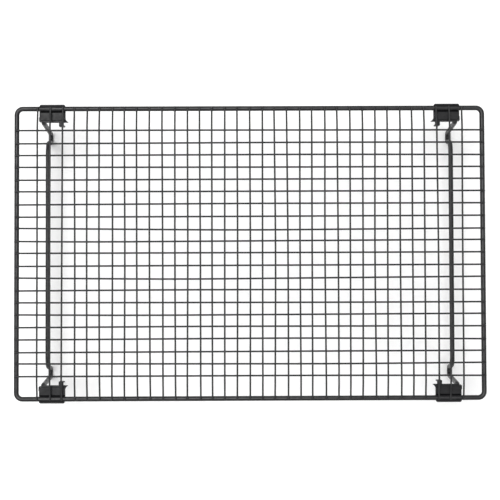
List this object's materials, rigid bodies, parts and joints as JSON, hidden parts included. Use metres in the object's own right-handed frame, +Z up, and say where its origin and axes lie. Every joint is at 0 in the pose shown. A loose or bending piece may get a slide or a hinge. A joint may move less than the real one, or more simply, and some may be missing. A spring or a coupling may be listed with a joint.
{
  "type": "cooling rack",
  "caption": "Rectangular wire cooling rack: thick rim, fine welded grid, and folding wire legs held by moulded hinge clips.",
  "frame": {"origin": "on the worktop under the middle of the rack, legs standing", "axes": "+X along the long side, +Y along the short side, +Z up"},
  "size_m": [0.406, 0.257, 0.08],
  "materials": {
    "rim_coating": "satin non-stick coating",
    "grid_coating": "satin non-stick coating",
    "leg_coating": "satin non-stick coating",
    "clip_plastic": "moulded, semi-matte"
  },
  "bodies": {
    "rack": {"rim_wire": "rim_coating", "cross_wire_01": "grid_coating", "cross_wire_02": "grid_coating", "cross_wire_03": "grid_coating", "cross_wire_04": "grid_coating", "cross_wire_05": "grid_coating", "cross_wire_06": "grid_coating", "cross_wire_07": "grid_coating", "cross_wire_08": "grid_coating", "cross_wire_09": "grid_coating", "cross_wire_10": "grid_coating", "cross_wire_11": "grid_coating", "cross_wire_12": "grid_coating", "cross_wire_13": "grid_coating", "cross_wire_14": "grid_coating", "cross_wire_15": "grid_coating", "cross_wire_16": "grid_coating", "cross_wire_17": "grid_coating", "cross_wire_18": "grid_coating", "cross_wire_19": "grid_coating", "cross_wire_20": "grid_coating", "cross_wire_21": "grid_coating", "cross_wire_22": "grid_coating", "cross_wire_23": "grid_coating", "cross_wire_24": "grid_coating", "cross_wire_25": "grid_coating", "cross_wire_26": "grid_coating", "cross_wire_27": "grid_coating", "cross_wire_28": "grid_coating", "cross_wire_29": "grid_coating", "cross_wire_30": "grid_coating", "cross_wire_31": "grid_coating", "cross_wire_32": "grid_coating", "cross_wire_33": "grid_coating", "cross_wire_34": "grid_coating", "cross_wire_35": "grid_coating", "long_wire_pair_01": "grid_coating", "long_wire_pair_02": "grid_coating", "long_wire_pair_03": "grid_coating", "long_wire_pair_04": "grid_coating", "long_wire_pair_05": "grid_coating", "long_wire_pair_06": "grid_coating", "long_wire_pair_07": "grid_coating", "long_wire_pair_08": "grid_coating", "long_wire_pair_09": "grid_coating", "long_wire_pair_10": "grid_coating", "long_wire_middle": "grid_coating", "hinge_clip_left_front": "clip_plastic", "hinge_clip_left_back": "clip_plastic", "hinge_clip_right_front": "clip_plastic", "hinge_clip_right_back": "clip_plastic"},
    "leg_left": {"leg_left": "leg_coating"},
    "leg_right": {"leg_right": "leg_coating"}
  },
  "joints": [
    {"name": "leg_left_fold", "type": "hinge", "parent": "rack", "child": "leg_left", "pos_m": [-0.1792, 0, 0.0691], "axis": [0, -1, 0], "range_deg": [0, 97]},
    {"name": "leg_right_fold", "type": "hinge", "parent": "rack", "child": "leg_right", "pos_m": [0.1792, 0, 0.0691], "axis": [0, 1, 0], "range_deg": [0, 97]}
  ]
}
